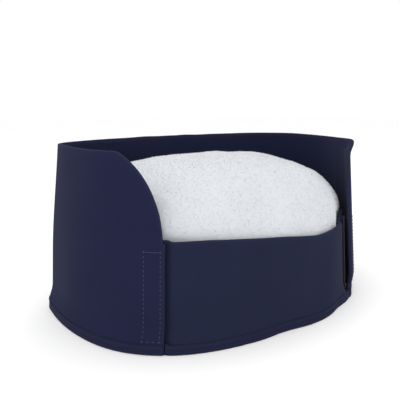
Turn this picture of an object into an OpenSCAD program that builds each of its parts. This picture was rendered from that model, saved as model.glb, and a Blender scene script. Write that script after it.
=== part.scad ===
// Padded arm cradle: an open, D-shaped fabric tub that holds the forearm, with a
// plush pad inside. The high wrap ends in two wings that close over a low front
// panel with hook and loop tape. Millimetres, +Z up, -Y is the front, and the
// origin is the middle of the underside.

/* [Outline] */
// Half of the width, measured at the hem
half_width = 200; // [185:1:215]
// From the widest line to the front of the base
front_depth = 187; // [170:1:200]
// From the widest line to the back of the base
back_depth = 80; // [70:1:95]
// Squareness of the front curve (2 is an ellipse, higher is squarer)
front_fullness = 2.67; // [2.2:0.01:3]
// Squareness of the back curve
back_fullness = 1.96; // [1.8:0.01:2.4]

/* [Walls] */
// Height of the wrap's rim
wall_height = 195; // [170:1:220]
// Height of the low front panel
front_height = 110; // [90:1:125]
// How far the rim leans in from the base
wall_lean = 13.5; // [0:0.5:15]
// Outer fabric
cover_t = 0.8; // [0.6:0.1:1.2]
// Foam between the fabrics
foam_t = 2.4; // [2:0.1:4]
// Lining fabric
lining_t = 0.8; // [0.6:0.1:1.2]

/* [Base] */
// Height of the base, and of the hem round the foot of the walls
hem_height = 10; // [9:0.5:14]
// How far the hem stands out from the walls
hem_t = 4; // [3:0.5:6]
// Stiffening board in the base
board_t = 3; // [2:0.5:4]

/* [Wings] */
// Direction of each wing's free edge, in degrees from the front
wing_edge_angle = 39.5; // [36:0.5:42]
// Direction of the fold where each wing swings out
wing_fold_angle = 75; // [70:1:80]
// Width of the big rounded corner
corner_width = 60; // [40:1:70]
// Height of the big rounded corner
corner_height = 87; // [60:1:88]

/* [Hook and loop] */
// Width of the tapes
tape_w = 20; // [16:1:25]
// Thickness of each tape
tape_t = 1.2; // [0.8:0.1:1.5]
// Free space between the two closed tapes
tape_gap = 0.5; // [0.4:0.1:1]
// Length of the tapes, up the wall
tape_length = 88; // [60:1:90]
// How far the front panel's ends reach past the tapes
panel_overlap = 8; // [4:1:12]

/* [Pad] */
// Height of the pad in the middle
pad_height = 155; // [120:1:158]
// How much higher the pad is at its right end
pad_side_rise = 11; // [0:1:12]
// How much higher the pad is 100 mm from its middle line, front to back
pad_end_rise = 12; // [0:1:14]
// Squareness of the pad's rounded sides
pad_fullness = 3.6; // [2.5:0.1:4]
// Thickness of the plush cover
plush_t = 2; // [1:0.5:4]
// Free space between the pad and the leaning rim
pad_clearance = 0.8; // [0.5:0.1:3]

/* [Hidden] */

navy = [0.11, 0.12, 0.22];
lining_navy = [0.09, 0.10, 0.19];
foam_grey = [0.45, 0.45, 0.47];
plush_white = [0.88, 0.89, 0.90];

widest_y = (front_depth - back_depth) / 2;
wall_t = cover_t + foam_t + lining_t;
// gap that keeps pieces of different bodies apart
air = 0.4;
// glue line between a tape and its wall
glue = 0.06;
// the wings and the front panel hang just clear of the ground, so that they can swing
loose_z = air;
// face of the front panel, flush in the middle and tucked behind the wings at its ends
flush_inset = hem_t;
tucked_inset = hem_t + wall_t + 2 * tape_t + tape_gap;
flush_angle = wing_edge_angle - 5;
tucked_angle = wing_edge_angle - 0.7;
pad_inset = hem_t + wall_t + wall_lean + pad_clearance;
pad_z = hem_height + air;
// free space round the base, inside the walls, which lean in slightly at its height
base_gap = lean(hem_height) + air;

outline_step = 2;
front_step = 1;
pad_step = 4;
pad_rings = 9;
corner_steps = 10;

// millimetres along the outline for each degree near the front corners
mm_per_degree = 3.63;
tape_angle_0 = wing_edge_angle + 1.2;
tape_angle_1 = tape_angle_0 + tape_w / mm_per_degree;
panel_end_angle = tape_angle_1 + panel_overlap / mm_per_degree;
tape_z = hem_height + 3;

// A point of the outline in direction t (0 is the front, 90 the right),
// moved in by the given inset
function edge_radius(t, inset) =
    let (front = cos(t) > 0,
         n = front ? front_fullness : back_fullness,
         depth = (front ? front_depth : back_depth) - inset)
    pow(pow(abs(sin(t)) / (half_width - inset), n) + pow(abs(cos(t)) / depth, n), -1 / n);
function edge(t, inset) =
    let (r = edge_radius(t, inset)) [r * sin(t), widest_y - r * cos(t)];
function lean(z) = wall_lean * z / wall_height;
function wall_point(t, inset, z) = let (p = edge(t, inset + lean(z))) [p[0], p[1], z];

// Angles from a to b in near-equal steps
function angles(a, b, step) =
    let (count = ceil(abs(b - a) / step)) [for (i = [0 : count]) a + (b - a) * i / count];

// Height of a wing's edge in direction t: a quarter ellipse down to the free edge
function wing_top(t) =
    let (s = (abs(t) - wing_edge_angle) * mm_per_degree,
         u = max(0, min(1, 1 - s / corner_width)))
    wall_height - corner_height * (1 - sqrt(max(0, 1 - u * u)));
// Columns crowd towards the free edge, where the corner is steep
function wing_angles() = concat(
    [for (i = [0 : corner_steps])
        wing_edge_angle + corner_width * (1 - cos(90 * i / corner_steps)) / mm_per_degree],
    [for (t = angles(wing_edge_angle + corner_width / mm_per_degree, wing_fold_angle,
                     outline_step)) if (t > wing_edge_angle + corner_width / mm_per_degree + 0.01) t]);
function reversed(list) = [for (i = [len(list) - 1 : -1 : 0]) list[i]];
function mirrored(list) = [for (t = reversed(list)) -t];

// Inset of the front panel's face: tucked inside the wings at its ends, and
// flush with their faces in between
function smooth(u) = let (v = max(0, min(1, u))) v * v * (3 - 2 * v);
function front_inset(t) = flush_inset + (tucked_inset - flush_inset)
    * smooth((abs(t) - flush_angle) / (tucked_angle - flush_angle));

// Inset of the base's edge, which follows the walls' inner faces
function base_inset(t) =
    let (past_end = smooth((abs(t) - panel_end_angle - 1) / 3))
    wall_t + base_gap + front_inset(t) * (1 - past_end) + hem_t * past_end;

// A solid swept through rows of points; every row is the same closed profile.
// Both sides of a shared face split along the same diagonal, so layers fit.
module swept(rows) {
    n = len(rows);
    m = len(rows[0]);
    function id(j, k) = j * m + k % m;
    polyhedron(
        points = [for (row = rows) each row],
        faces = concat(
            [[for (k = [m - 1 : -1 : 0]) id(0, k)], [for (k = [0 : m - 1]) id(n - 1, k)]],
            [for (j = [0 : n - 2], k = [0 : m - 1])
                let (a = id(j, k), b = id(j + 1, k), c = id(j + 1, k + 1), d = id(j, k + 1),
                     rising = rows[j][k][2] <= rows[j][(k + 1) % m][2])
                each rising ? [[a, d, c], [a, c, b]] : [[a, d, b], [d, c, b]]]));
}

// One layer of wall, of thickness t_0 and set back by back_0 from the wall's face.
// list, insets and tops hold the direction, face inset and height of each column.
module wall_layer(list, insets, back_0, t_0, z_0, tops) {
    swept([for (i = [0 : len(list) - 1])
        let (t = list[i], face = insets[i] + back_0, rear = face + t_0) [
            wall_point(t, face, z_0), wall_point(t, face, tops[i]),
            wall_point(t, rear, tops[i]), wall_point(t, rear, z_0)]]);
}

module wall_cover(list, insets, z_0, tops)
    wall_layer(list, insets, 0, cover_t, z_0, tops);

module wall_foam(list, insets, z_0, tops)
    wall_layer(list, insets, cover_t, foam_t, z_0, tops);

module wall_lining(list, insets, z_0, tops)
    wall_layer(list, insets, cover_t + foam_t, lining_t, z_0, tops);

// A flat layer of the base
module base_layer(z, thickness)
    translate([0, 0, z]) linear_extrude(thickness)
        polygon([for (t = [-180 : front_step : 180 - front_step]) edge(t, base_inset(t))]);

// A strip of hem outside a wall's foot
module hem(list, insets, z_0)
    wall_layer(list, insets, -hem_t, hem_t, z_0, level(list, hem_height));

back_angles = angles(wing_fold_angle, 360 - wing_fold_angle, outline_step);
front_angles = angles(-panel_end_angle, panel_end_angle, front_step);
front_hem_angles = [for (t = front_angles) if (abs(t) < wing_edge_angle - 0.3) t];
right_angles = wing_angles();
left_angles = mirrored(right_angles);

function level(list, value) = [for (t = list) value];
function wing_tops(list) = [for (t = list) wing_top(t)];
back_insets = level(back_angles, hem_t);
front_insets = [for (t = front_angles) front_inset(t)];

module base_cover() color(navy) base_layer(0, cover_t);
module base_board() color("dimgray") base_layer(cover_t, board_t);
module base_foam() color(foam_grey)
    base_layer(cover_t + board_t, hem_height - cover_t - board_t - lining_t);
module base_lining() color(lining_navy) base_layer(hem_height - lining_t, lining_t);

module back_cover() color(navy)
    wall_cover(back_angles, back_insets, 0, level(back_angles, wall_height));
module back_foam() color(foam_grey)
    wall_foam(back_angles, back_insets, 0, level(back_angles, wall_height));
module back_lining() color(lining_navy)
    wall_lining(back_angles, back_insets, 0, level(back_angles, wall_height));
module back_hem() color(navy) hem(back_angles, back_insets, 0);

// The wings keep a hair clear of the back at the fold line
function off_fold(list) = [for (t = list) sign(t) * min(abs(t), wing_fold_angle - 0.12)];

module wing_cover(list)
    wall_cover(off_fold(list), level(list, hem_t), loose_z, wing_tops(list));
module wing_foam(list)
    wall_foam(off_fold(list), level(list, hem_t), loose_z, wing_tops(list));
module wing_lining(list)
    wall_lining(off_fold(list), level(list, hem_t), loose_z, wing_tops(list));
module wing_hem(list) hem(off_fold(list), level(list, hem_t), loose_z);

// A tape on a wall, with its outer face at the given inset
module tape(side, inset) {
    list = angles(tape_angle_0, tape_angle_1, 1.5);
    turned = side > 0 ? list : mirrored(list);
    wall_layer(turned, level(turned, inset), 0, tape_t, tape_z, level(turned, tape_z + tape_length));
}

module left_wing_cover() color(navy) wing_cover(left_angles);
module left_wing_foam() color(foam_grey) wing_foam(left_angles);
module left_wing_lining() color(lining_navy) wing_lining(left_angles);
module left_wing_hem() color(navy) wing_hem(left_angles);
module left_hook_tape() color("black") tape(-1, hem_t + wall_t + glue);
module right_wing_cover() color(navy) wing_cover(right_angles);
module right_wing_foam() color(foam_grey) wing_foam(right_angles);
module right_wing_lining() color(lining_navy) wing_lining(right_angles);
module right_wing_hem() color(navy) wing_hem(right_angles);
module right_hook_tape() color("black") tape(1, hem_t + wall_t + glue);

module front_cover() color(navy)
    wall_cover(front_angles, front_insets, loose_z, level(front_angles, front_height));
module front_foam() color(foam_grey)
    wall_foam(front_angles, front_insets, loose_z, level(front_angles, front_height));
module front_lining() color(lining_navy)
    wall_lining(front_angles, front_insets, loose_z, level(front_angles, front_height));
module front_hem() color(navy)
    hem(front_hem_angles, [for (t = front_hem_angles) front_inset(t)], loose_z);
module left_loop_tape() color("black") tape(-1, tucked_inset - tape_t - glue);
module right_loop_tape() color("black") tape(1, tucked_inset - tape_t - glue);

// The pad's upper surface; rho runs from 0 at the middle to 1 at the edge
function pad_rise(x, y) =
    pad_height + pad_side_rise * x / half_width + pad_end_rise * pow(y / 100, 2);
function pad_point(t, rho, inset, z_0, thinner) =
    let (p = edge(t, inset), x = rho * p[0], y = widest_y + rho * (p[1] - widest_y),
         swell = pow(max(0, 1 - pow(rho, pad_fullness)), 1 / pad_fullness))
    [x, y, z_0 + (pad_rise(x, y) - thinner) * swell];
// Rings crowd towards the edge, where the side is steep
function ring_rho(i) = sin(90 * i / pad_rings);
pad_columns = [for (t = [0 : pad_step : 360 - pad_step]) t];

// Closed dome with a flat underside
function dome_points(inset, z_0, thinner) = concat(
    [pad_point(0, 0, inset, z_0, thinner)],
    [for (i = [1 : pad_rings], t = pad_columns) pad_point(t, ring_rho(i), inset, z_0, thinner)]);
function dome_faces(first, inside) =
    let (n = len(pad_columns),
         faces = concat(
             [for (j = [0 : n - 1]) [first, first + 1 + (j + 1) % n, first + 1 + j]],
             [for (i = [0 : pad_rings - 2], j = [0 : n - 1])
                 let (a = first + 1 + i * n + j, b = first + 1 + i * n + (j + 1) % n)
                 each [[a, b, b + n], [a, b + n, a + n]]]))
    inside ? [for (f = faces) reversed(f)] : faces;
function last_ring(first) =
    [for (j = [0 : len(pad_columns) - 1]) first + 1 + (pad_rings - 1) * len(pad_columns) + j];

module pad_filling() color("white")
    polyhedron(dome_points(pad_inset + plush_t, pad_z + 1, plush_t),
               concat(dome_faces(0, false), [last_ring(0)]));

module pad_plush_cover() color(plush_white) {
    outer = dome_points(pad_inset, pad_z + 1, 0);
    inner = dome_points(pad_inset + plush_t, pad_z + 1, plush_t);
    start = len(outer);
    a = last_ring(0);
    b = last_ring(start);
    n = len(a);
    polyhedron(concat(outer, inner), concat(
        dome_faces(0, false), dome_faces(start, true),
        [for (j = [0 : n - 1]) each [[a[j], a[(j + 1) % n], b[(j + 1) % n]],
                                     [a[j], b[(j + 1) % n], b[j]]]]));
}

module pad_base_cover() color(plush_white)
    translate([0, 0, pad_z]) linear_extrude(1)
        polygon([for (t = pad_columns) edge(t, pad_inset)]);

base_cover();
base_board();
base_foam();
base_lining();
back_cover();
back_foam();
back_lining();
back_hem();
left_wing_cover();
left_wing_foam();
left_wing_lining();
left_wing_hem();
left_hook_tape();
right_wing_cover();
right_wing_foam();
right_wing_lining();
right_wing_hem();
right_hook_tape();
front_cover();
front_foam();
front_lining();
front_hem();
left_loop_tape();
right_loop_tape();
pad_plush_cover();
pad_base_cover();
pad_filling();
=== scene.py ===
import math

import bpy
import numpy as np
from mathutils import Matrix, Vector, noise


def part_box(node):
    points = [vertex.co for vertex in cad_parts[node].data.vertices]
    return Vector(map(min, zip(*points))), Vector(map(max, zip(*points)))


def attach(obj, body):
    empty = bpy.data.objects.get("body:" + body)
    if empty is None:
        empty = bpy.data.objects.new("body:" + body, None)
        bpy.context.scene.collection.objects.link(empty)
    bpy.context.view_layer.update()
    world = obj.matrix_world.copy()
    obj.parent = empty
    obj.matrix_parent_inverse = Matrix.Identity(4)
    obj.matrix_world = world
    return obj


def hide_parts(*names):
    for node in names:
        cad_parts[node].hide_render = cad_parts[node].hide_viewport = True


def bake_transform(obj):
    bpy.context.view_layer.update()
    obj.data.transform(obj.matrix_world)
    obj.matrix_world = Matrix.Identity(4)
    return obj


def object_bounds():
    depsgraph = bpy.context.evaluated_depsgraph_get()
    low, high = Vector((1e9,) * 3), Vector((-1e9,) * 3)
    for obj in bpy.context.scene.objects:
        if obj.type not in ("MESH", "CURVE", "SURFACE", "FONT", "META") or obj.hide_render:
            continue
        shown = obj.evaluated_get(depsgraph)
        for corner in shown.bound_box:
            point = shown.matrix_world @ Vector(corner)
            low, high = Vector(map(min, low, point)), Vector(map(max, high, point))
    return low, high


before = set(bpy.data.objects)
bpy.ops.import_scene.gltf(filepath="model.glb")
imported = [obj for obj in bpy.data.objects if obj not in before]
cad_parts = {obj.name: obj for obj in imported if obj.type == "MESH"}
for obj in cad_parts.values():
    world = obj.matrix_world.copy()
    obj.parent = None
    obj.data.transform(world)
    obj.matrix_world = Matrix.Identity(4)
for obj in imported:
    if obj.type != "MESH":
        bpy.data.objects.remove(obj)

# A padded arm cradle: a navy fabric tub with two wings, a low front panel and a plush pad.
# Lengths are in metres; mm turns millimetres into metres. Angles are in degrees, measured
# round the tub from the front (0) to the right (90) and the back (180); the left is negative.
mm = 0.001
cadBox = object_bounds()
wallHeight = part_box("back_cover")[1][2]
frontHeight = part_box("front_cover")[1][2]
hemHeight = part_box("back_hem")[1][2]
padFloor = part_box("pad_base_cover")[0][2]

outline = {
    "halfWidth": cadBox[1][0],
    "frontShare": 0.7004,       # share of the depth that lies before the widest line
    "frontFullness": 2.67,
    "backFullness": 1.96,
    "lean": 13.5 * mm,
}
depth = cadBox[1][1] - cadBox[0][1]
frontDepth = depth * outline["frontShare"]
backDepth = depth - frontDepth
widestY = (frontDepth - backDepth) / 2

wing = {
    "edge": 39.2,
    "crease": 62,
    "cornerWidth": 75 * mm,
    "cornerLow": 108 * mm,
    "cornerHeight": 92 * mm,
    "cornerMeet": 2 * mm,       # how softly the corner meets the rim
}
wall = {
    "thick": 4 * mm,
    "hem": 4 * mm,
    "panelEnd": 47.6,
    "tuck": 6.8 * mm,           # how far the front panel's ends go in behind the wings
    "tuckRight": 34.0,
    "tuckLeft": 36.8,
    "tuckEnd": 39.0,
}
liningCut = {"thick": 0.8 * mm, "overlap": 0.25 * mm, "drop": 2.4 * mm}
hemBand = {"gap": 0.3 * mm, "rows": 5, "roundness": 0.7 * mm}
seam = {"hemThick": 1.1 * mm, "rimThick": 0.4 * mm, "rimDrop": 8.2 * mm, "proud": 0.2 * mm, "points": 260}


def smooth(u):
    v = np.clip(u, 0, 1)
    return v * v * (3 - 2 * v)


def edgePoint(angle, inset):
    # a point of the tub's outline, moved in by inset
    sine, cosine = np.sin(np.radians(angle)), np.cos(np.radians(angle))
    front = cosine > 0
    power = np.where(front, outline["frontFullness"], outline["backFullness"])
    reach = np.where(front, frontDepth, backDepth) - inset
    side = outline["halfWidth"] - inset
    radius = (np.abs(sine / side) ** power + np.abs(cosine / reach) ** power) ** (-1 / power)
    return radius * sine, widestY - radius * cosine


def wallPoint(angle, inset, z):
    x, y = edgePoint(angle, inset + outline["lean"] * z / wallHeight)
    return np.stack(np.broadcast_arrays(x, y, z), -1)


# distance along the walls for each angle, from the middle of the front
ruler = np.linspace(0, 180, 1801)
rulerPoints = np.stack(edgePoint(ruler, wall["hem"]), -1)
rulerLength = np.concatenate([[0], np.cumsum(np.linalg.norm(np.diff(rulerPoints, axis=0), axis=1))])


def lengthAt(angle):
    return np.sign(angle) * np.interp(np.abs(angle), ruler, rulerLength)


def angleAt(length):
    return np.sign(length) * np.interp(np.abs(length), rulerLength, ruler)


def ripple(angle, z, size):
    # slack in the fabric: long soft waves, the same at both sides of the middle of the back
    a = np.radians(angle)
    return size * (np.sin(7 * a + 9 * z) * 0.6 + np.sin(13 * a + 2 - 14 * z) * 0.4)


def footShare(z):
    # 1 at the hem, then fading up the wall
    return np.exp(-(np.maximum(z - hemHeight, 0) / (10 * mm)) ** 2)


def leftSide(angle):
    return smooth((-angle - 45) / 30) * smooth((150 + angle) / 40)


def leftTurn(angle):
    return 1.8 * mm * np.exp(-((angle + 67) / 12) ** 2)


def rightTurn(angle):
    return smooth((angle - 22) / 8)


def standOff(angle):
    # the right wing is creased, and stands off the front panel from the crease to its free edge
    slow, quick = smooth((95 - angle) / 33), np.clip((wing["crease"] - angle) / 9, 0, 1)
    return (0.35 * slow + 0.65 * quick) * (angle > 0)


def footInset(angle):
    # the foot stands out all round, and waves a little where the front turns to the right
    window = smooth((angle + 12) / 10) * smooth((48 - angle) / 12)
    wave = 1.8 * mm * np.cos(np.radians(12 * (angle + 1))) * window
    right = np.where(angle > wing["edge"] - 0.1, 2.4 * mm * standOff(angle), 2 * mm * rightTurn(angle))
    left = leftTurn(angle) - 1.1 * mm * leftSide(angle)
    return np.maximum(wave, -1.6 * mm) - 0.6 * mm + right + left


def wrapFace(angle, z):
    # inset of the wrap's outer face: the left side leans in, and the right wing's tip turns out
    off = standOff(angle)
    rightFlare = off * (1.2 * mm + 4.2 * mm * smooth(z / (28 * mm)) - 2.2 * mm * z / wallHeight
                        + 7.5 * mm * smooth((z - 176 * mm) / (20 * mm)))
    leftLean = leftSide(angle) * (5.5 * mm * smooth((z - 70 * mm) / (150 * mm)) - 2.2 * mm)
    low = leftTurn(angle) * smooth(1 - z / (60 * mm))
    upper = wall["hem"] - rightFlare + leftLean + low + ripple(angle, z, 0.7 * mm)
    return upper + (footInset(angle) - upper) * footShare(z)


def wrapTop(angle):
    # the rim, with a big rounded corner down to each wing's free edge
    s = np.abs(lengthAt(angle)) - lengthAt(wing["edge"])
    u = np.clip(1 - (s - 2.2 * mm) / wing["cornerWidth"], 0, 1)
    corner = wing["cornerLow"] + wing["cornerHeight"] * np.sqrt(np.maximum(0, 1 - u * u))
    x, y = edgePoint(angle, 0)
    rim = (wallHeight + 0.5 * mm + 0.7 * mm * x / outline["halfWidth"] + ripple(angle, 0, 0.3 * mm)
           - 1.2 * mm * smooth((100 - angle) / 28) * (angle > 0))
    meet = wing["cornerMeet"]
    blend = np.maximum(meet - np.abs(rim - corner), 0) / meet
    return np.minimum(rim, corner) - blend ** 2 * meet / 4


def frontInset(angle):
    start = np.where(angle > 0, wall["tuckRight"], wall["tuckLeft"])
    return wall["hem"] + wall["tuck"] * smooth((np.abs(angle) - start) / (wall["tuckEnd"] - start))


def frontFace(angle, z):
    tuck = frontInset(angle)
    upper = tuck + ripple(angle * 1.6, z, 0.8 * mm)
    return upper + (footInset(angle) + tuck - wall["hem"] - upper) * footShare(z)


def frontTop(angle):
    # the panel sags towards the right, and its tucked end rises again
    sag = 14 * mm * np.clip((angle + 27) / 45, 0, 1) ** 1.25
    rise = 3 * mm * smooth((angle - 20) / 17) + 8 * mm * smooth((angle - 38) / 6)
    return frontHeight - sag + rise


def hemFace(angle, z):
    return footInset(angle) - 0.15 * mm + 0 * z


def hemTop(angle):
    return hemHeight - hemBand["gap"] + 0 * angle


def hemThick(angle):
    # near the free edge the hem fills the space before the tucked panel
    return 3.4 * mm + (3.8 * mm - hemFace(angle, 0)) * smooth((51 - np.abs(angle)) / 4)


# ---- node groups and materials


def addSocket(tree, name, way, kind, default=None):
    made = tree.interface.new_socket(name=name, in_out=way, socket_type=kind)
    if default is not None:
        made.default_value = default
    return made


def mathNode(tree, operation, a, b=None, c=None):
    made = tree.nodes.new("ShaderNodeMath")
    made.operation = operation
    for socket, value in zip(made.inputs, (a, b, c)):
        if value is None:
            continue
        if isinstance(value, (int, float)):
            socket.default_value = value
        else:
            tree.links.new(value, socket)
    return made.outputs[0]


def noiseNode(tree, vector, scale, detail=2.0, roughness=0.5):
    made = tree.nodes.new("ShaderNodeTexNoise")
    made.inputs["Scale"].default_value = scale
    made.inputs["Detail"].default_value = detail
    made.inputs["Roughness"].default_value = roughness
    tree.links.new(vector, made.inputs["Vector"])
    return made.outputs["Fac"]


def weaveGroup():
    # threads crossing over and under, with yarn that varies in thickness
    tree = bpy.data.node_groups.new("clothWeave", "ShaderNodeTree")
    addSocket(tree, "Vector", "INPUT", "NodeSocketVector")
    addSocket(tree, "Threads", "INPUT", "NodeSocketFloat", 1200.0)
    addSocket(tree, "Shade", "OUTPUT", "NodeSocketFloat")
    addSocket(tree, "Height", "OUTPUT", "NodeSocketFloat")
    start, end = tree.nodes.new("NodeGroupInput"), tree.nodes.new("NodeGroupOutput")
    split = tree.nodes.new("ShaderNodeSeparateXYZ")
    tree.links.new(start.outputs["Vector"], split.inputs[0])
    turn = mathNode(tree, "MULTIPLY", start.outputs["Threads"], math.pi)
    across = mathNode(tree, "SINE", mathNode(tree, "MULTIPLY", split.outputs["X"], turn))
    along = mathNode(tree, "SINE", mathNode(tree, "MULTIPLY", split.outputs["Y"], turn))
    over = mathNode(tree, "MULTIPLY", across, along)
    woven = mathNode(tree, "MULTIPLY_ADD", over, 0.5, 0.5)
    yarn = noiseNode(tree, start.outputs["Vector"], 650, 3, 0.6)
    shade = mathNode(tree, "MULTIPLY_ADD", yarn, 0.75, mathNode(tree, "MULTIPLY", woven, 0.25))
    tree.links.new(shade, end.inputs["Shade"])
    tree.links.new(mathNode(tree, "MULTIPLY_ADD", yarn, 0.5, mathNode(tree, "MULTIPLY", woven, 0.5)),
                   end.inputs["Height"])
    return tree


def dustGroup():
    # broad fading and fine lint
    tree = bpy.data.node_groups.new("clothDust", "ShaderNodeTree")
    addSocket(tree, "Vector", "INPUT", "NodeSocketVector")
    addSocket(tree, "Fading", "OUTPUT", "NodeSocketFloat")
    addSocket(tree, "Lint", "OUTPUT", "NodeSocketFloat")
    start, end = tree.nodes.new("NodeGroupInput"), tree.nodes.new("NodeGroupOutput")
    tree.links.new(noiseNode(tree, start.outputs["Vector"], 11, 3, 0.55), end.inputs["Fading"])
    specks = noiseNode(tree, start.outputs["Vector"], 420, 2, 0.5)
    tree.links.new(mathNode(tree, "SMOOTH_MIN", mathNode(tree, "MAXIMUM",
                   mathNode(tree, "MULTIPLY_ADD", specks, 9.0, -6.3), 0.0), 1.0, 0.05),
                   end.inputs["Lint"])
    return tree


weave, dust = weaveGroup(), dustGroup()


def groupNode(tree, group):
    made = tree.nodes.new("ShaderNodeGroup")
    made.node_tree = group
    return made


def mixColour(tree, factor, a, b):
    made = tree.nodes.new("ShaderNodeMix")
    made.data_type = "RGBA"
    tree.links.new(factor, made.inputs["Factor"])
    for name, value in (("A", a), ("B", b)):
        socket = [s for s in made.inputs if s.name == name and s.type == "RGBA"][0]
        if isinstance(value, tuple):
            socket.default_value = (*value, 1)
        else:
            tree.links.new(value, socket)
    return [s for s in made.outputs if s.type == "RGBA"][0]


def clothMaterial(name, dark, light, worn, threads=1150, bump=0.35, depthMm=0.25, sheen=0.03,
                  roughness=0.88, useUv=True, lint=0.25):
    mat = bpy.data.materials.new(name)
    mat.use_nodes = True
    tree = mat.node_tree
    shader = tree.nodes["Principled BSDF"]
    coords = tree.nodes.new("ShaderNodeTexCoord")
    place = coords.outputs["UV"] if useUv else coords.outputs["Object"]
    threadNode, dustNode = groupNode(tree, weave), groupNode(tree, dust)
    tree.links.new(place, threadNode.inputs["Vector"])
    threadNode.inputs["Threads"].default_value = threads
    tree.links.new(coords.outputs["Object"], dustNode.inputs["Vector"])
    tone = mathNode(tree, "ADD", mathNode(tree, "MULTIPLY", threadNode.outputs["Shade"], 0.72),
                    mathNode(tree, "MULTIPLY", dustNode.outputs["Fading"], 0.35))
    body = mixColour(tree, tone, dark, light)
    edge = tree.nodes.new("ShaderNodeAttribute")
    edge.attribute_name = "edgeWear"
    worked = mixColour(tree, mathNode(tree, "MULTIPLY", edge.outputs["Fac"], 0.35), body, worn)
    dusty = mixColour(tree, mathNode(tree, "MULTIPLY", dustNode.outputs["Lint"], lint), worked, worn)
    tree.links.new(dusty, shader.inputs["Base Color"])
    rough = mathNode(tree, "MULTIPLY_ADD", threadNode.outputs["Shade"], 0.12, roughness - 0.06)
    tree.links.new(rough, shader.inputs["Roughness"])
    shader.inputs["Sheen Weight"].default_value = sheen
    shader.inputs["Sheen Roughness"].default_value = 0.45
    shader.inputs["Specular IOR Level"].default_value = 0.03
    raised = tree.nodes.new("ShaderNodeBump")
    raised.inputs["Strength"].default_value = bump
    raised.inputs["Distance"].default_value = depthMm * mm
    tree.links.new(threadNode.outputs["Height"], raised.inputs["Height"])
    tree.links.new(raised.outputs["Normal"], shader.inputs["Normal"])
    return mat


navy = clothMaterial("navyTricot", (0.0075, 0.0085, 0.0250), (0.0195, 0.0220, 0.060), (0.03, 0.033, 0.07))
navyFront = clothMaterial("navyTricotFront", (0.0078, 0.0098, 0.0238), (0.0208, 0.0252, 0.057),
                          (0.03, 0.034, 0.07))
navyLining = clothMaterial("navyLining", (0.0066, 0.0082, 0.0230), (0.0172, 0.0205, 0.052),
                           (0.03, 0.032, 0.06), threads=900, sheen=0.05)
navyHem = clothMaterial("navyHem", (0.0068, 0.0084, 0.0225), (0.0182, 0.0218, 0.053),
                        (0.035, 0.038, 0.075), threads=1000)
threadDark = clothMaterial("darkThread", (0.005, 0.006, 0.014), (0.013, 0.015, 0.034),
                           (0.04, 0.045, 0.08), threads=2400, useUv=False, sheen=0.1)
threadLight = clothMaterial("navyThread", (0.030, 0.034, 0.068), (0.058, 0.064, 0.115),
                            (0.09, 0.1, 0.15), threads=2400, useUv=False, sheen=0.2)
tapeCloth = clothMaterial("tapeBacking", (0.008, 0.009, 0.022), (0.020, 0.022, 0.048),
                          (0.04, 0.045, 0.08), threads=1500, useUv=False, sheen=0.1)
plush = clothMaterial("whitePlush", (0.50, 0.52, 0.55), (0.70, 0.715, 0.74), (0.74, 0.75, 0.77),
                      threads=0, bump=0.4, depthMm=0.6, sheen=0.15, roughness=0.95,
                      useUv=False, lint=0.0)
backing = clothMaterial("padBacking", (0.58, 0.59, 0.61), (0.72, 0.73, 0.75), (0.78, 0.79, 0.8),
                        threads=800, useUv=False, sheen=0.15, lint=0.1)
board = clothMaterial("greyBoard", (0.06, 0.06, 0.065), (0.11, 0.11, 0.115), (0.2, 0.2, 0.2),
                      threads=120, bump=0.15, depthMm=0.1, useUv=False, sheen=0.0, roughness=0.6)
print("materials made")

# ---- meshes


def meshPiece(name, points, faces, mat, uv=None, wear=None):
    mesh = bpy.data.meshes.new(name)
    mesh.from_pydata([tuple(map(float, p)) for p in points], [], [tuple(map(int, f)) for f in faces])
    mesh.update()
    mesh.polygons.foreach_set("use_smooth", [True] * len(mesh.polygons))
    if uv is not None:
        layer = mesh.uv_layers.new(name="flatCloth")
        corners = np.empty(len(mesh.loops), dtype=np.int32)
        mesh.loops.foreach_get("vertex_index", corners)
        layer.data.foreach_set("uv", np.asarray(uv, float)[corners].ravel())
    if wear is not None:
        mesh.attributes.new("edgeWear", "FLOAT", "POINT").data.foreach_set("value", np.asarray(wear, float))
    mesh.materials.append(mat)
    piece = bpy.data.objects.new(name, mesh)
    bpy.context.scene.collection.objects.link(piece)
    return piece


edgeSteps = np.array([0, 0.12, 0.4, 0.8, 1.3, 2.0, 3.0, 4.4]) * mm


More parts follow.
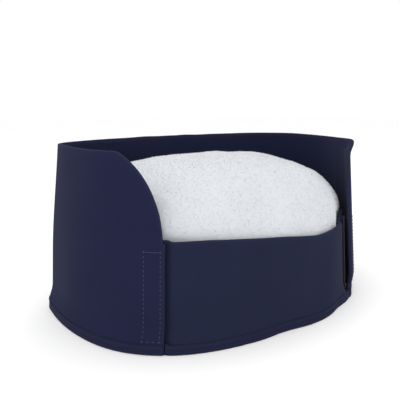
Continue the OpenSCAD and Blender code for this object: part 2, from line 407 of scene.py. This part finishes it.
def wallPiece(name, fromAngle, toAngle, topOf, faceOf, thickOf, mat, low=0.0, spacing=4 * mm,
              rows=34, freeEnds=(True, True), drop=0.0, roundness=1.4 * mm):
    # a sheet of wall with real thickness, whose rim, foot and free ends are rounded
    s0, s1 = lengthAt(fromAngle), lengthAt(toAngle)
    count = int(abs(s1 - s0) / spacing)
    middle = np.linspace(s0 + edgeSteps[-1], s1 - edgeSteps[-1], count)
    s = np.concatenate([s0 + edgeSteps[:-1], middle, (s1 - edgeSteps[:-1])[::-1]])
    angle = angleAt(s)
    top = topOf(angle) - drop
    slope = np.gradient(top, s)
    tilt = np.sqrt(1 + slope ** 2)
    stretch = np.minimum(tilt, 4)
    zs = []
    for t, f in zip(top, stretch):
        head = t - edgeSteps * f
        zs.append(np.concatenate([low + edgeSteps[:-1],
                                  np.linspace(low + edgeSteps[-1], head[-1], rows), head[:-1][::-1]]))
    z = np.array(zs)
    a = angle[:, None] + 0 * z
    near = np.minimum((top[:, None] - z) / tilt[:, None], z - low)
    if freeEnds[0]:
        near = np.minimum(near, (s - s0)[:, None] + 0 * z)
    if freeEnds[1]:
        near = np.minimum(near, (s1 - s)[:, None] + 0 * z)
    near = np.maximum(near, 0)
    thick = thickOf(a) if callable(thickOf) else thickOf + 0 * z
    bend = np.minimum(thick / 2, roundness)
    half = thick / 2 * np.sqrt(np.maximum(0, 1 - (1 - np.minimum(near / bend, 1)) ** 2))
    centre = faceOf(a, z) + thick / 2
    outer, inner = wallPoint(a, centre - half, z), wallPoint(a, centre + half, z)
    n, m = z.shape
    outerId = np.arange(n * m).reshape(n, m)
    shut = half < 1e-6
    innerId = np.where(shut, outerId, -1)
    innerId[~shut] = n * m + np.arange((~shut).sum())
    points = np.concatenate([outer.reshape(-1, 3), inner[~shut]])
    flat = np.stack([s[:, None] + 0 * z, z], -1)
    uv = np.concatenate([flat.reshape(-1, 2), flat[~shut] + 3.0])
    wear = np.exp(-near / (1.6 * mm))
    wear = np.concatenate([wear.ravel(), wear[~shut]])
    faces = []
    for i in range(n - 1):
        for j in range(m - 1):
            faces.append((outerId[i, j], outerId[i + 1, j], outerId[i + 1, j + 1], outerId[i, j + 1]))
            faces.append((innerId[i, j], innerId[i, j + 1], innerId[i + 1, j + 1], innerId[i + 1, j]))
    for i, free, turn in ((0, freeEnds[0], 1), (n - 1, freeEnds[1], -1)):
        if free:
            continue
        for j in range(m - 1):
            quad = [outerId[i, j], outerId[i, j + 1], innerId[i, j + 1], innerId[i, j]]
            quad = list(dict.fromkeys(quad))
            faces.append(tuple(quad[::turn]))
    piece = meshPiece(name, points, faces, mat, uv, wear)
    area = float(np.sum((top[1:] + top[:-1] - 2 * low) / 2 * np.diff(s)))
    return piece, float(abs(s1 - s0)), float(top.max() - low), area


def discPiece(name, insetOf, low, high, mat, rings=14, step=3):
    # a flat closed plate with a rounded edge
    edgeReach = 300 * mm        # a larger reach makes the rounded edge narrower
    angle = np.arange(-180, 180, step)
    ex, ey = edgePoint(angle, insetOf(angle))
    rho = np.sin(np.linspace(0, math.pi / 2, rings + 1))[1:]
    half = (high - low) / 2
    points, wear = [], []
    for sign in (1, -1):
        points.append((0, widestY, (high if sign > 0 else low)))
        wear.append(0)
        for k, r in enumerate(rho[:-1] if sign < 0 else rho):
            inward = min((1 - r) * edgeReach / half, 1)
            rounding = math.sqrt(max(0, 1 - (1 - inward) ** 2))
            level = (high + low) / 2 + sign * half * rounding
            x, y = r * ex, widestY + r * (ey - widestY)
            points.extend((px, py, level) for px, py in zip(x, y))
            wear.extend([max(0.0, (r - 0.97) / 0.03)] * len(x))
    n = len(angle)
    faces = []
    for side, first in ((1, 0), (-1, 1 + n * rings)):
        ids = lambda k, j: first + 1 + (k - 1) * n + j % n
        last = lambda k, j: ids(k, j) if side > 0 or k < rings else 1 + (rings - 1) * n + j % n
        for j in range(n):
            faces.append((first, last(1, j), last(1, j + 1))[::side])
            for k in range(1, rings):
                faces.append((last(k, j), last(k + 1, j), last(k + 1, j + 1), last(k, j + 1))[::side])
    points = np.array(points)
    area = 0.5 * abs(np.dot(ex, np.roll(ey, 1)) - np.dot(ey, np.roll(ex, 1)))
    piece = meshPiece(name, points, faces, mat, points[:, :2], wear)
    return piece, float(ex.max() - ex.min()), float(ey.max() - ey.min()), float(area)


def bake(piece):
    # the evaluated shape becomes a plain mesh, and no modifier is left
    graph = bpy.context.evaluated_depsgraph_get()
    made = bpy.data.meshes.new_from_object(piece.evaluated_get(graph))
    piece.modifiers.clear()
    old = piece.data
    piece.data = made
    bpy.data.meshes.remove(old)
    return piece


# ---- geometry nodes


def geometryTree(name, sockets):
    tree = bpy.data.node_groups.new(name, "GeometryNodeTree")
    addSocket(tree, "Geometry", "INPUT", "NodeSocketGeometry")
    for label, kind, value in sockets:
        addSocket(tree, label, "INPUT", kind, value)
    addSocket(tree, "Geometry", "OUTPUT", "NodeSocketGeometry")
    return tree, tree.nodes.new("NodeGroupInput"), tree.nodes.new("NodeGroupOutput")


def finishTree(tree, start, end, instances):
    real = tree.nodes.new("GeometryNodeRealizeInstances")
    coat = tree.nodes.new("GeometryNodeSetMaterial")
    tree.links.new(instances, real.inputs[0])
    tree.links.new(real.outputs[0], coat.inputs["Geometry"])
    tree.links.new(start.outputs["Material"], coat.inputs["Material"])
    tree.links.new(coat.outputs[0], end.inputs[0])


def stitchTree():
    # short stitches laid end to end along an edge path
    tree, start, end = geometryTree("stitchRow", [
        ("Pitch", "NodeSocketFloat", 3.4 * mm), ("Length", "NodeSocketFloat", 2.5 * mm),
        ("Thickness", "NodeSocketFloat", 0.5 * mm), ("Material", "NodeSocketMaterial", None)])
    curve = tree.nodes.new("GeometryNodeMeshToCurve")
    spaced = tree.nodes.new("GeometryNodeResampleCurve")
    spaced.mode = "LENGTH"
    ball = tree.nodes.new("GeometryNodeMeshIcoSphere")
    ball.inputs["Radius"].default_value = 0.5
    ball.inputs["Subdivisions"].default_value = 2
    shade = tree.nodes.new("GeometryNodeSetShadeSmooth")
    size = tree.nodes.new("ShaderNodeCombineXYZ")
    tangent = tree.nodes.new("GeometryNodeInputTangent")
    turn = tree.nodes.new("FunctionNodeAlignRotationToVector")
    turn.axis = "X"
    place = tree.nodes.new("GeometryNodeInstanceOnPoints")
    link = tree.links.new
    link(start.outputs["Geometry"], curve.inputs[0])
    link(curve.outputs[0], spaced.inputs["Curve"])
    link(start.outputs["Pitch"], spaced.inputs["Length"])
    link(spaced.outputs[0], place.inputs["Points"])
    link(ball.outputs["Mesh"], shade.inputs["Geometry"])
    link(shade.outputs[0], place.inputs["Instance"])
    link(tangent.outputs[0], turn.inputs["Vector"])
    link(turn.outputs[0], place.inputs["Rotation"])
    link(start.outputs["Length"], size.inputs[0])
    link(start.outputs["Thickness"], size.inputs[1])
    link(start.outputs["Thickness"], size.inputs[2])
    link(size.outputs[0], place.inputs["Scale"])
    finishTree(tree, start, end, place.outputs[0])
    return tree


def tuftTree():
    # leaning tufts scattered over a surface: pile, loops or hooks
    tree, start, end = geometryTree("tufts", [
        ("Density", "NodeSocketFloat", 50000.0), ("Height", "NodeSocketFloat", 2 * mm),
        ("Width", "NodeSocketFloat", 0.5 * mm), ("Lean", "NodeSocketFloat", 0.5),
        ("Seed", "NodeSocketInt", 3), ("Material", "NodeSocketMaterial", None)])
    scatter = tree.nodes.new("GeometryNodeDistributePointsOnFaces")
    cone = tree.nodes.new("GeometryNodeMeshCone")
    cone.fill_type = "NONE"
    cone.inputs["Vertices"].default_value = 3
    cone.inputs["Radius Top"].default_value = 0.12
    cone.inputs["Radius Bottom"].default_value = 0.5
    cone.inputs["Depth"].default_value = 1.0
    size = tree.nodes.new("ShaderNodeCombineXYZ")
    jitter = tree.nodes.new("FunctionNodeRandomValue")
    jitter.data_type = "FLOAT_VECTOR"
    jitter.inputs[0].default_value = (-1, -1, -1)
    jitter.inputs[1].default_value = (1, 1, 1)
    normal = tree.nodes.new("GeometryNodeInputNormal")
    lean = tree.nodes.new("ShaderNodeVectorMath")
    lean.operation = "SCALE"
    aim = tree.nodes.new("ShaderNodeVectorMath")
    turn = tree.nodes.new("FunctionNodeAlignRotationToVector")
    turn.axis = "Z"
    place = tree.nodes.new("GeometryNodeInstanceOnPoints")
    shade = tree.nodes.new("GeometryNodeSetShadeSmooth")
    keep = tree.nodes.new("GeometryNodeCaptureAttribute")
    keep.domain = "FACE"
    keep.capture_items.new("VECTOR", "facing")
    link = tree.links.new
    link(start.outputs["Geometry"], keep.inputs["Geometry"])
    link(normal.outputs[0], keep.inputs[1])
    link(keep.outputs["Geometry"], scatter.inputs["Mesh"])
    link(start.outputs["Density"], scatter.inputs["Density"])
    link(start.outputs["Seed"], scatter.inputs["Seed"])
    link(start.outputs["Seed"], jitter.inputs["Seed"])
    link(scatter.outputs["Points"], place.inputs["Points"])
    link(cone.outputs["Mesh"], shade.inputs["Geometry"])
    link(shade.outputs[0], place.inputs["Instance"])
    link(jitter.outputs[0], lean.inputs[0])
    link(start.outputs["Lean"], lean.inputs["Scale"])
    link(keep.outputs[1], aim.inputs[0])
    link(lean.outputs[0], aim.inputs[1])
    link(aim.outputs[0], turn.inputs["Vector"])
    link(turn.outputs[0], place.inputs["Rotation"])
    link(start.outputs["Width"], size.inputs[0])
    link(start.outputs["Width"], size.inputs[1])
    link(start.outputs["Height"], size.inputs[2])
    link(size.outputs[0], place.inputs["Scale"])
    finishTree(tree, start, end, place.outputs[0])
    return tree


stitches, tufts = stitchTree(), tuftTree()


def grow(piece, tree, values):
    # runs a geometry tree on a piece, and leaves the plain mesh that it makes
    modifier = piece.modifiers.new("grown", "NODES")
    modifier.node_group = tree
    for item in tree.interface.items_tree:
        if item.item_type == "SOCKET" and item.in_out == "INPUT" and item.name in values:
            modifier[item.identifier] = values[item.name]
    return bake(piece)


def stitchPiece(name, paths, mat, pitch=3.4 * mm, length=2.5 * mm, thickness=0.55 * mm):
    mesh = bpy.data.meshes.new(name)
    points, edges = [], []
    for path in paths:
        first = len(points)
        points.extend(tuple(map(float, p)) for p in path)
        edges.extend((first + i, first + i + 1) for i in range(len(path) - 1))
    mesh.from_pydata(points, edges, [])
    piece = bpy.data.objects.new(name, mesh)
    bpy.context.scene.collection.objects.link(piece)
    return grow(piece, stitches, {"Pitch": pitch, "Length": length, "Thickness": thickness, "Material": mat})


print("node trees made")

# ---- the wrap: two halves that meet at the middle of the back, each with its wing

seamHeight = hemHeight + 1.0 * mm


def foldWithWing(piece):
    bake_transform(piece)


def liningFace(angle, z):
    return wrapFace(angle, z) + wall["thick"] - liningCut["overlap"]


def frontLiningFace(angle, z):
    return frontFace(angle, z) + wall["thick"] - liningCut["overlap"]


tapeSeam = {"from": 40.35, "to": 45.0, "low": 13.5, "high": 100.5}      # heights in millimetres


def tapeSeamPaths(side):
    # the four rows that sew a hook tape down, as a rectangle
    near, far, low, high = (tapeSeam[key] for key in ("from", "to", "low", "high"))
    corners = [(near, low), (near, high), (far, high), (far, low), (near, low)]
    paths = []
    for (a0, z0), (a1, z1) in zip(corners[:-1], corners[1:]):
        u = np.linspace(0, 1, 40)
        a, z = side * (a0 + (a1 - a0) * u), (z0 + (z1 - z0) * u) * mm
        paths.append(wallPoint(a, wrapFace(a, z) - 0.12 * mm, z))
    return paths


for side, word in ((-1, "left"), (1, "right")):
    ends = (-180, -wing["edge"]) if side < 0 else (wing["edge"], 180)
    free = (side > 0, side < 0)
    cover = wallPiece(f"{word}WrapCover", *ends, wrapTop, wrapFace, wall["thick"], navy,
                      low=0.6 * mm, freeEnds=free)[0]
    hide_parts(f"{word}_wing_cover", f"{word}_wing_foam", *(
        ("back_cover",) if side < 0 else ("back_foam",)))
    foldWithWing(cover)

    margin = side * 1.6
    liningEnds = (-180, -wing["edge"] + margin) if side < 0 else (wing["edge"] + margin, 180)
    lining, length, height, area = wallPiece(
        f"{word}WrapLining", *liningEnds, wrapTop, liningFace, liningCut["thick"], navyLining,
        low=hemHeight + 0.8 * mm, freeEnds=free, drop=liningCut["drop"])
    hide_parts(f"{word}_wing_lining", *(("back_lining",) if side < 0 else ()))
    foldWithWing(lining)

    hem = wallPiece(f"{word}WrapHem", *ends, hemTop, hemFace, hemThick, navyHem, low=0.1 * mm,
                        rows=hemBand["rows"], freeEnds=free, roundness=hemBand["roundness"])[0]
    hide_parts(f"{word}_wing_hem", *(("back_hem",) if side < 0 else ()))
    foldWithWing(hem)

    # stitch rows: along the hem, inside the rim, and round the hook tape
    track = angleAt(np.linspace(*(lengthAt(np.array([e])) for e in ends), seam["points"]).ravel())
    row = wallPoint(track, wrapFace(track, seamHeight) - seam["proud"], seamHeight)
    hemRow = stitchPiece(f"{word}HemStitches", [row], threadDark, thickness=seam["hemThick"])
    foldWithWing(hemRow)

    inside = track[np.abs(track) > wing["edge"] + 2.2]
    rowHeight = wrapTop(inside) - seam["rimDrop"]
    row = wallPoint(inside, liningFace(inside, rowHeight) + 0.9 * mm, rowHeight)
    rimRow = stitchPiece(f"{word}RimStitches", [row], threadDark, thickness=seam["rimThick"])
    foldWithWing(rimRow)

    paths = tapeSeamPaths(side)
    tapeRow = stitchPiece(f"{word}TapeStitches", paths, threadLight, pitch=4.6 * mm, length=2.9 * mm,
                          thickness=0.7 * mm)
    topBar = stitchPiece(f"{word}TapeTack", [paths[1]], threadLight, pitch=0.8 * mm, length=1.4 * mm,
                         thickness=0.6 * mm)
    for row in (tapeRow, topBar):
        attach(row, f"{word}_wing")
print("wrap made")

# ---- the low front panel

frontEnd = wall["panelEnd"]
liningEnd = frontEnd - 1.5
frontCover = wallPiece("frontCover", -frontEnd, frontEnd, frontTop, frontFace, wall["thick"], navyFront,
                       low=1.0 * mm, rows=24)[0]
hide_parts("front_cover", "front_foam")
frontLining, length, height, area = wallPiece(
    "frontLining", -liningEnd, liningEnd, frontTop, frontLiningFace, liningCut["thick"], navyLining,
    low=4 * mm, rows=20, drop=liningCut["drop"])
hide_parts("front_lining")


def frontHemFace(angle, z):
    return hemFace(angle, z) + 0.15 * (frontInset(angle) - wall["hem"])


def frontHemThick(angle):
    return np.maximum(frontInset(angle) - frontHemFace(angle, 0), 3 * mm)


hemEnd = wing["edge"] - 0.2
frontHem = wallPiece("frontHem", -hemEnd, hemEnd, hemTop, frontHemFace, frontHemThick, navyHem,
                     low=0.9 * mm, rows=hemBand["rows"], roundness=hemBand["roundness"])[0]
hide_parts("front_hem")
hemReach, rimReach = lengthAt(38.6), lengthAt(45.0)
track = angleAt(np.linspace(-hemReach, hemReach, seam["points"]))
row = wallPoint(track, frontFace(track, seamHeight) - seam["proud"], seamHeight)
frontRow = stitchPiece("frontHemStitches", [row], threadDark, thickness=seam["hemThick"])
inside = angleAt(np.linspace(-rimReach, rimReach, seam["points"]))
rowHeight = frontTop(inside) - seam["rimDrop"]
row = wallPoint(inside, frontFace(inside, rowHeight) + wall["thick"] + 0.65 * mm, rowHeight)
frontRim = stitchPiece("frontRimStitches", [row], threadDark, thickness=seam["rimThick"])
for piece in (frontCover, frontLining, frontHem, frontRow, frontRim):
    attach(piece, "front_panel")
print("front panel made")

# ---- hook and loop tapes: the woven strips keep their shape and gain hooks and loops

tape = {"from": 40.9, "to": 45.9, "low": 14.5 * mm, "high": 99.5 * mm, "columns": 9, "rows": 34}


def tapeFace(name, side, inset, outward, mat, values):
    columns, rows = tape["columns"], tape["rows"]
    a = side * np.linspace(tape["from"], tape["to"], columns)[:, None]
    z = np.linspace(tape["low"], tape["high"], rows)[None, :]
    points = wallPoint(a + 0 * z, inset + 0 * z + 0 * a, z + 0 * a).reshape(-1, 3)
    ids = np.arange(columns * rows).reshape(columns, rows)
    faces = [(ids[i, j], ids[i + 1, j], ids[i + 1, j + 1], ids[i, j + 1])
             for i in range(columns - 1) for j in range(rows - 1)]
    if (side > 0) != outward:
        faces = [f[::-1] for f in faces]
    piece = meshPiece(name, points, faces, mat)
    return grow(piece, tufts, {**values, "Material": mat})


hookInset = wall["hem"] + wall["thick"] + 1.2 * mm
loopInset = hookInset + 0.4 * mm
for side, word in ((-1, "left"), (1, "right")):
    hooks = tapeFace(f"{word}Hooks", side, hookInset, False, tapeCloth,
                     {"Density": 700000.0, "Height": 0.5 * mm, "Width": 0.35 * mm, "Lean": 0.15, "Seed": 5})
    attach(hooks, f"{word}_wing")
    loops = tapeFace(f"{word}Loops", side, loopInset, True, threadDark,
                     {"Density": 900000.0, "Height": 0.5 * mm, "Width": 0.3 * mm, "Lean": 1.1, "Seed": 8})
    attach(loops, "front_panel")
    for node in (f"{word}_hook_tape", f"{word}_loop_tape"):
        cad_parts[node].data.materials.clear()
        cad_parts[node].data.materials.append(tapeCloth)

# ---- the base


def baseInset(angle):
    ends = smooth((np.abs(angle) - wall["panelEnd"] - 0.5) / 4)
    foot = hemHeight / 2
    return wall["thick"] + 0.5 * mm + frontFace(angle, foot) * (1 - ends) + wrapFace(angle, foot) * ends


def flapInset(angle):
    # under the front panel the flap reaches out to the panel's foot
    front = smooth((wing["edge"] + 1 - np.abs(angle)) / 0.8)
    return (baseInset(angle) + 1 * mm) * (1 - front) + (frontHemFace(angle, 0) + 0.3 * mm) * front


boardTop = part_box("base_foam")[1][2]
caseTop = boardTop + 0.1 * mm
flapTop = 0.8 * mm
flap = discPiece("baseFlap", flapInset, 0.0, flapTop, navyHem, step=0.5)[0]
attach(flap, "shell")
baseCase = discPiece("baseCase", baseInset, flapTop, caseTop, navyHem, step=1)[0]
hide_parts("base_cover", "base_foam")
baseLining, length, height, area = discPiece(
    "baseLining", lambda a: baseInset(a) + 1.2 * mm, caseTop, hemHeight + 0.1 * mm, navyLining, step=2)
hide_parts("base_lining")
for piece in (baseCase, baseLining):
    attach(piece, "shell")
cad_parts["base_board"].data.materials.clear()
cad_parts["base_board"].data.materials.append(board)
print("base made")

# ---- the pad: a plump plush pillow, a dome that a cloth simulation then swells a little

pad = {
    "inset": 16.1 * mm,         # the sewn edge, before the pillow swells
    "lift": 1.2 * mm,           # the flat underside's height over the backing's foot
    "fullness": 3.7,
    "height": 157 * mm,
    "rightRise": 2.5 * mm,      # fuller at the right end
    "endRise": 12 * mm,
    "swell": 4 * mm,            # the most that the simulation may move a point
    "frames": 20,
    "voxel": 5 * mm,
    "pile": 0.7 * mm,
    "clear": 1.7 * mm,          # the space kept between the plush and the walls
    "pressLeft": 22 * mm,       # how far above the front panel its press on the pad fades out
    "pressRight": 12 * mm,
    "ramp": 8,                  # degrees over which the left tuck's press fades in, twice
}


def padRise(x, y):
    return pad["height"] + pad["rightRise"] * x / outline["halfWidth"] + pad["endRise"] * (y / 0.1) ** 2


def padPoint(angle, rho):
    x, y = edgePoint(angle, pad["inset"])
    x, y = rho * x, widestY + rho * (y - widestY)
    dome = np.maximum(0, 1 - rho ** pad["fullness"]) ** (1 / pad["fullness"])
    z = padFloor + pad["lift"] + padRise(x, y) * dome
    return np.stack([x, y, z], -1)


def padStart():
    angle = np.arange(0, 360, 3.0)
    rho = np.sin(np.radians(np.linspace(0, 90, 31)))[1:]
    grid = padPoint(angle[None, :] + 0 * rho[:, None], rho[:, None] + 0 * angle[None, :])
    n = len(angle)
    points = [padPoint(np.array([0.0]), np.array([0.0]))[0], *grid.reshape(-1, 3)]
    low = padFloor + 1.0 * mm
    points.append((0, widestY, low))
    ids = lambda k, j: 1 + k * n + j % n
    faces = [(0, ids(0, j), ids(0, j + 1)) for j in range(n)]
    faces += [(ids(k, j), ids(k + 1, j), ids(k + 1, j + 1), ids(k, j + 1))
              for k in range(len(rho) - 1) for j in range(n)]
    faces += [(len(points) - 1, ids(len(rho) - 1, j + 1), ids(len(rho) - 1, j)) for j in range(n)]
    return meshPiece("padPlush", points, faces, plush)


padPlush = padStart()
remesh = padPlush.modifiers.new("even", "REMESH")
remesh.mode = "VOXEL"
remesh.voxel_size = pad["voxel"]
remesh.use_smooth_shade = True
padPlush.modifiers.new("relax", "SMOOTH").iterations = 6
bake(padPlush)


def positions(mesh):
    out = np.empty(len(mesh.vertices) * 3)
    mesh.vertices.foreach_get("co", out)
    return out.reshape(-1, 3)


def onDome(points):
    # settles the even mesh back on the exact dome; the flat underside stays
    x, y = points[:, 0], points[:, 1] - widestY
    edgeX, edgeY = edgePoint(np.degrees(np.arctan2(x, -y)), pad["inset"])
    rho = np.hypot(x, y) / np.hypot(edgeX, edgeY - widestY)
    up = np.maximum(points[:, 2] - padFloor - pad["lift"], 0) / padRise(points[:, 0], points[:, 1])
    share = (rho ** pad["fullness"] + up ** pad["fullness"]) ** (-1 / pad["fullness"])
    share = np.where((up > 0.03) | (rho > 0.98), share, 1)
    moved = points.copy()
    moved[:, 0] *= share
    moved[:, 1] = widestY + y * share
    moved[:, 2] = padFloor + pad["lift"] + (points[:, 2] - padFloor - pad["lift"]) * share
    return moved


before = onDome(positions(padPlush.data))
padPlush.data.vertices.foreach_set("co", before.ravel())
padPlush.data.update()
sewn = padPlush.vertex_groups.new(name="sewnEdge")
sewn.add([int(i) for i in np.flatnonzero(before[:, 2] < padFloor + 9 * mm)], 1.0, "REPLACE")
cloth = padPlush.modifiers.new("cloth", "CLOTH")
cloth.settings.vertex_group_mass = "sewnEdge"
cloth.settings.use_pressure = True
cloth.settings.uniform_pressure_force = 4
cloth.settings.effector_weights.gravity = 0
cloth.settings.shrink_min = -0.03
cloth.settings.quality = 6
cloth.collision_settings.use_collision = False
cloth.point_cache.frame_start = 1
cloth.point_cache.frame_end = pad["frames"]
for step in range(1, pad["frames"] + 1):
    bpy.context.scene.frame_set(step)
bake(padPlush)
bpy.context.scene.frame_set(1)
padPlush.vertex_groups.clear()
after = positions(padPlush.data)
move = after - before
far = np.linalg.norm(move, axis=1)
after = before + move * np.minimum(1, pad["swell"] / np.maximum(far, 1e-9))[:, None]
print("pad swelled by up to", round(float(far.max()) * 1000, 1), "mm")


def pressInset(angle):
    # the panel's tuck is a sharp step, and the pad meets it with a long ramp that is never outside it
    steps = np.arange(-pad["ramp"], pad["ramp"] + 0.1, 2)
    widest = [np.max([frontInset(angle + a + b) for b in steps], axis=0) for a in steps]
    return np.maximum(np.mean(widest, axis=0), frontInset(angle))


def keepInside(points):
    # the pad presses against the walls, and never through them
    angle = np.degrees(np.arctan2(points[:, 0], widestY - points[:, 1]))
    reachUp = np.where(angle < 0, pad["pressLeft"], pad["pressRight"])
    front = (smooth((wall["panelEnd"] + 7 - np.abs(angle)) / 7)
             * smooth((frontHeight + reachUp - points[:, 2]) / (reachUp + 4 * mm)))
    side = wrapFace(angle, np.maximum(points[:, 2], 40 * mm))
    press = np.where(angle < 0, pressInset(angle), frontInset(angle))
    face = side + (press - side) * front + wall["thick"] + pad["clear"]
    limit = wallPoint(angle, face + 0 * angle, points[:, 2])
    reach = np.hypot(points[:, 0], points[:, 1] - widestY)
    most = np.hypot(limit[:, 0], limit[:, 1] - widestY)
    share = np.minimum(1, most / np.maximum(reach, 1e-9))
    held = points.copy()
    held[:, 0] *= share
    held[:, 1] = widestY + (points[:, 1] - widestY) * share
    held[:, 2] = np.maximum(points[:, 2], padFloor + 0.9 * mm)
    return held


padPlush.data.vertices.foreach_set("co", keepInside(after).ravel())
padPlush.data.update()
padPlush.modifiers.new("relax", "SMOOTH").iterations = 20
finer = padPlush.modifiers.new("finer", "SUBSURF")
finer.levels = finer.render_levels = 1
bake(padPlush)
points = positions(padPlush.data)
normals = np.empty(len(points) * 3)
padPlush.data.vertices.foreach_get("normal", normals)
normals = normals.reshape(-1, 3)
lumps = np.array([noise.noise(Vector(p) * 42) * 1.3 + noise.noise(Vector(p) * 120) * 0.6
                  + noise.noise(Vector(p) * 330) * 0.45 for p in points])
points = keepInside(points + normals * (lumps * pad["pile"])[:, None])
padPlush.data.vertices.foreach_set("co", points.ravel())
padPlush.data.polygons.foreach_set("use_smooth", [True] * len(padPlush.data.polygons))
padPlush.data.update()

pile = meshPiece("padPile", points, [tuple(p.vertices) for p in padPlush.data.polygons
                                     if p.center.z > padFloor + 25 * mm], plush)
grow(pile, tufts, {"Density": 115000.0, "Height": 1.1 * mm, "Width": 0.7 * mm, "Lean": 1.7, "Seed": 4,
                   "Material": plush})
padBack, length, height, area = discPiece(
    "padBacking", lambda a: pad["inset"] + 4 * mm + 0 * a, padFloor, padFloor + 1.6 * mm, backing, step=3)
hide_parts("pad_plush_cover", "pad_filling")
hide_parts("pad_base_cover")
for piece in (padPlush, pile, padBack):
    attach(piece, "pad")
print("pad made")

# ---- floor, light and camera

studio = {"floorSize": 14.0, "floorTone": 0.99, "world": 1.0, "key": 9.0, "fill": 0.4, "top": 6.0}
floorMat = bpy.data.materials.new("paleFloor")
floorMat.use_nodes = True
floorShader = floorMat.node_tree.nodes["Principled BSDF"]
floorShader.inputs["Base Color"].default_value = (*[studio["floorTone"]] * 3, 1)
floorShader.inputs["Roughness"].default_value = 0.9
half = studio["floorSize"] / 2
floor = meshPiece("floor", [(-half, -half, 0), (half, -half, 0), (half, half, 0), (-half, half, 0)],
                  [(0, 1, 2, 3)], floorMat)


def softLight(name, place, target, size, power):
    data = bpy.data.lights.new(name, "AREA")
    data.shape = "DISK"
    data.size = size
    data.energy = power
    lamp = bpy.data.objects.new(name, data)
    bpy.context.scene.collection.objects.link(lamp)
    lamp.location = place
    lamp.rotation_euler = (Vector(target) - Vector(place)).to_track_quat("-Z", "Y").to_euler()
    return lamp


softLight("keyLight", (-1.1, -1.3, 1.5), (0, 0, 0.1), 1.2, studio["key"])
softLight("fillLight", (1.4, -1.2, 0.9), (0, 0, 0.1), 1.4, studio["fill"])
softLight("topLight", (0.1, 0.2, 1.9), (0, 0, 0), 1.6, studio["top"])

world = bpy.data.worlds.new("studioAir")
bpy.context.scene.world = world
world.use_nodes = True
world.node_tree.nodes["Background"].inputs["Color"].default_value = (1, 1, 1, 1)
world.node_tree.nodes["Background"].inputs["Strength"].default_value = studio["world"]
bpy.context.scene.view_settings.view_transform = "Standard"

view = {"lens": 40.5, "sensor": 36, "place": (-0.3040, -0.4647, 0.2367), "aim": (0.0165, 0.0705, 0.1062)}
cameraData = bpy.data.cameras.new("camera")
cameraData.lens = view["lens"]
cameraData.sensor_width = view["sensor"]
camera = bpy.data.objects.new("camera", cameraData)
bpy.context.scene.collection.objects.link(camera)
camera.location = view["place"]
camera.rotation_euler = (Vector(view["aim"]) - camera.location).to_track_quat("-Z", "Y").to_euler()
bpy.context.scene.camera = camera
print("stage set")
